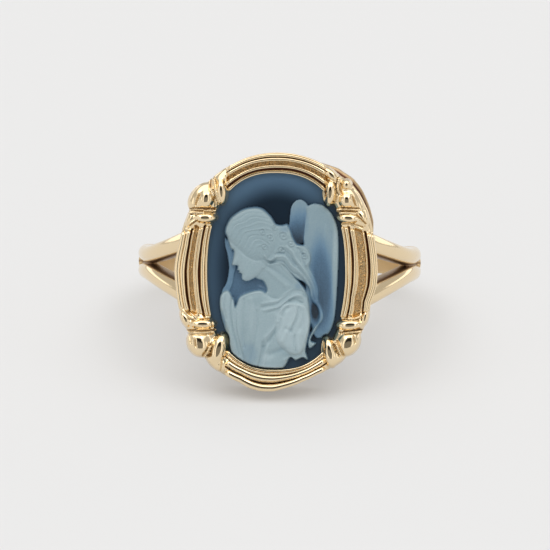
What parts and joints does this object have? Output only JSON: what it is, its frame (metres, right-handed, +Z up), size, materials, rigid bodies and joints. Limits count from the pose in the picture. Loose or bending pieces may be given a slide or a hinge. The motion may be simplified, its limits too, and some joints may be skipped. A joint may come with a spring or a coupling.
{
  "type": "cameo ring",
  "caption": "Finger ring with a split shank and an oval ribbon frame that holds a two-layer cameo of a praying angel; it lies on its side, resting on its head and band.",
  "frame": {"origin": "centre of the bounding box's underside, on the surface that the ring lies on", "axes": "+X across the face to the viewer's right, +Y away from the viewer, +Z up; the cameo faces -Y and leans back as the ring rests"},
  "size_m": [0.0198, 0.0234, 0.016],
  "materials": {
    "gold": "polished",
    "dark_layer": "polished",
    "pale_layer": "satin"
  },
  "bodies": {
    "root": {"ring_mount": "gold", "cameo_ground": "dark_layer", "cameo_figure": "pale_layer"}
  },
  "joints": []
}
